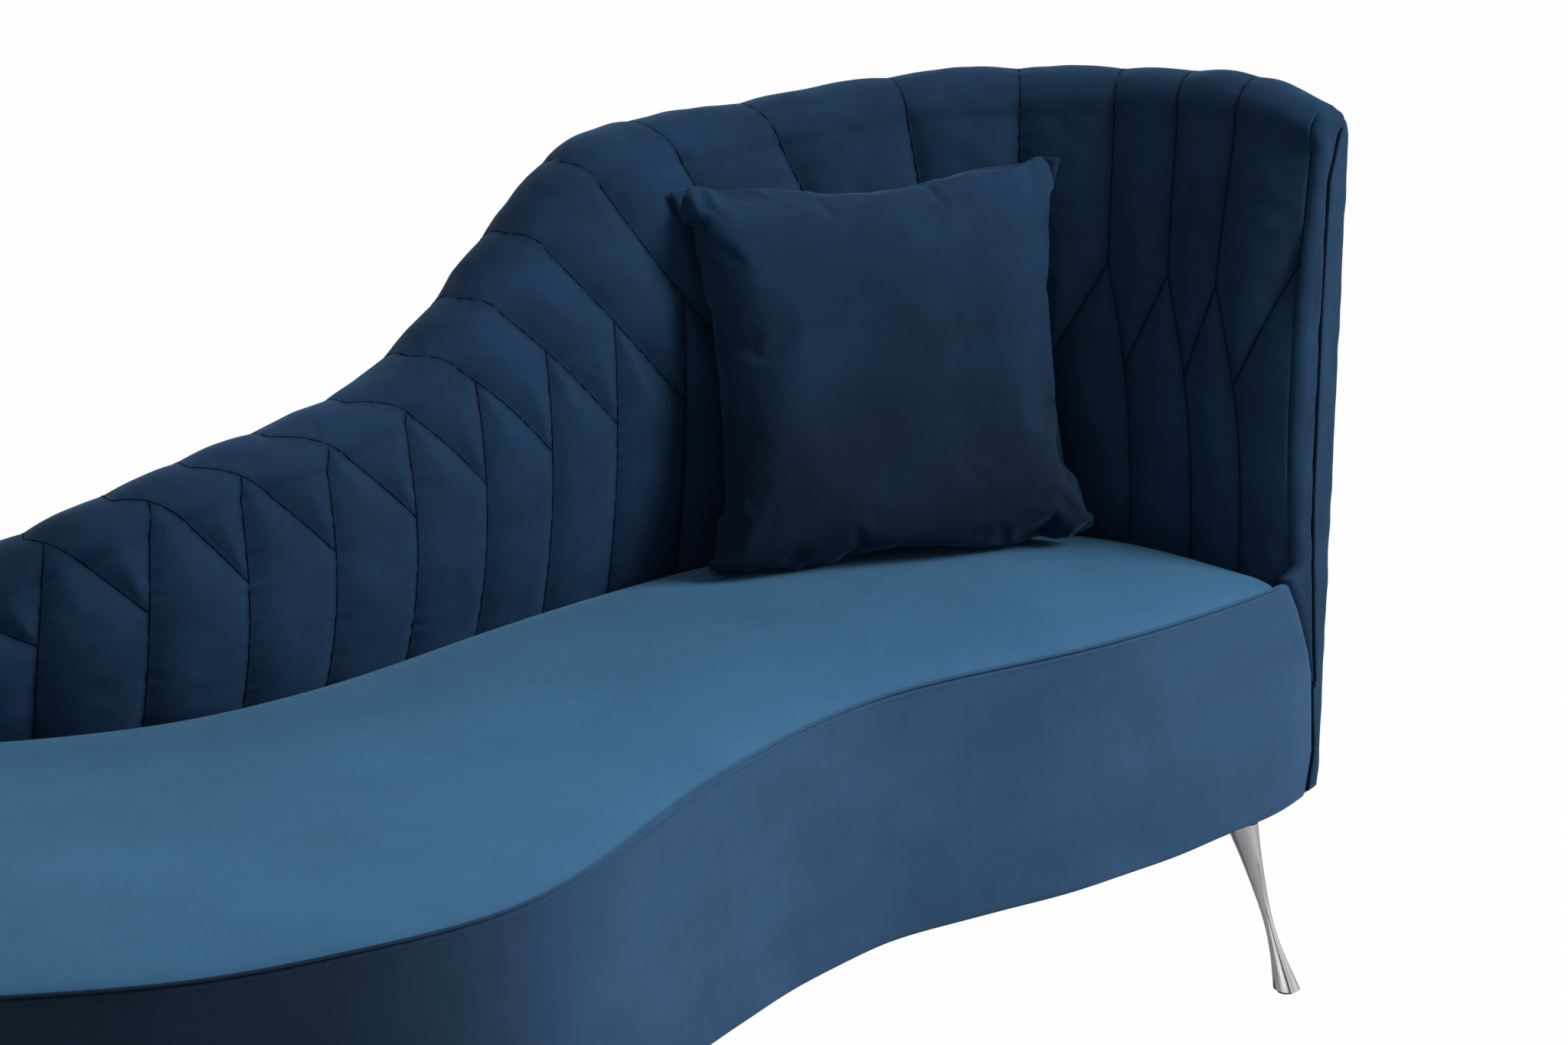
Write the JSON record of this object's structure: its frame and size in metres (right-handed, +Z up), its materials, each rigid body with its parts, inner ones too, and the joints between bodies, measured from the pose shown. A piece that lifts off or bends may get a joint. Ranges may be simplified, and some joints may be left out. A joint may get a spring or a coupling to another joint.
{
  "type": "chaise longue",
  "caption": "Upholstered chaise longue with a channelled sweeping backrest, crowned seat, rounded foot end, splayed chrome legs and a loose square pillow.",
  "frame": {"origin": "on the floor, below the middle of the overall length and depth", "axes": "+X from the low foot end along the length to the arm, +Y from the open front to the backrest, +Z up"},
  "size_m": [1.8091, 0.8175, 0.9424],
  "materials": {
    "seat_velvet": "short pile",
    "fascia_velvet": "short pile",
    "back_velvet": "short pile",
    "pillow_velvet": "short pile",
    "chrome": "polished",
    "glide_rubber": "matt",
    "frame_wood": "planed",
    "board": "pressed board",
    "steel": "zinc plated",
    "foam": "open cell",
    "wadding": "fibre",
    "webbing": "woven",
    "lining_cloth": "non-woven"
  },
  "bodies": {
    "chaise": {"leg_front_head": "chrome", "leg_front_foot": "chrome", "leg_rear_foot": "chrome", "leg_rear_head": "chrome", "glide_front_head": "glide_rubber", "glide_front_foot": "glide_rubber", "glide_rear_foot": "glide_rubber", "glide_rear_head": "glide_rubber", "leg_mounting_plates": "steel", "leg_studs": "steel", "plate_screws": "steel", "leg_blocks": "frame_wood", "front_rail": "frame_wood", "rear_rail": "frame_wood", "cross_beams": "frame_wood", "dust_cover": "lining_cloth", "seat_webbing": "webbing", "seat_deck": "lining_cloth", "seat_foam": "foam", "seat_cover": "seat_velvet", "fascia_padding": "wadding", "fascia_cover": "fascia_velvet", "front_welt": "seat_velvet", "back_posts": "frame_wood", "arm_post": "frame_wood", "back_top_rail": "frame_wood", "back_lining": "board", "back_foam": "foam", "outer_back_board": "board", "outer_wadding": "wadding", "outside_back_cover": "back_velvet", "inside_back_pad": "back_velvet", "arm_front_roll": "back_velvet", "arm_front_strip": "back_velvet", "tail_end_cap": "back_velvet"},
    "pillow": {"pillow_cover": "pillow_velvet", "pillow_filling": "wadding"}
  },
  "joints": [
    {"name": "pillow_lift_off", "type": "slide", "parent": "chaise", "child": "pillow", "axis": [-0.1197, -0.5484, 0.8276], "range_m": [0, 0.25]}
  ]
}
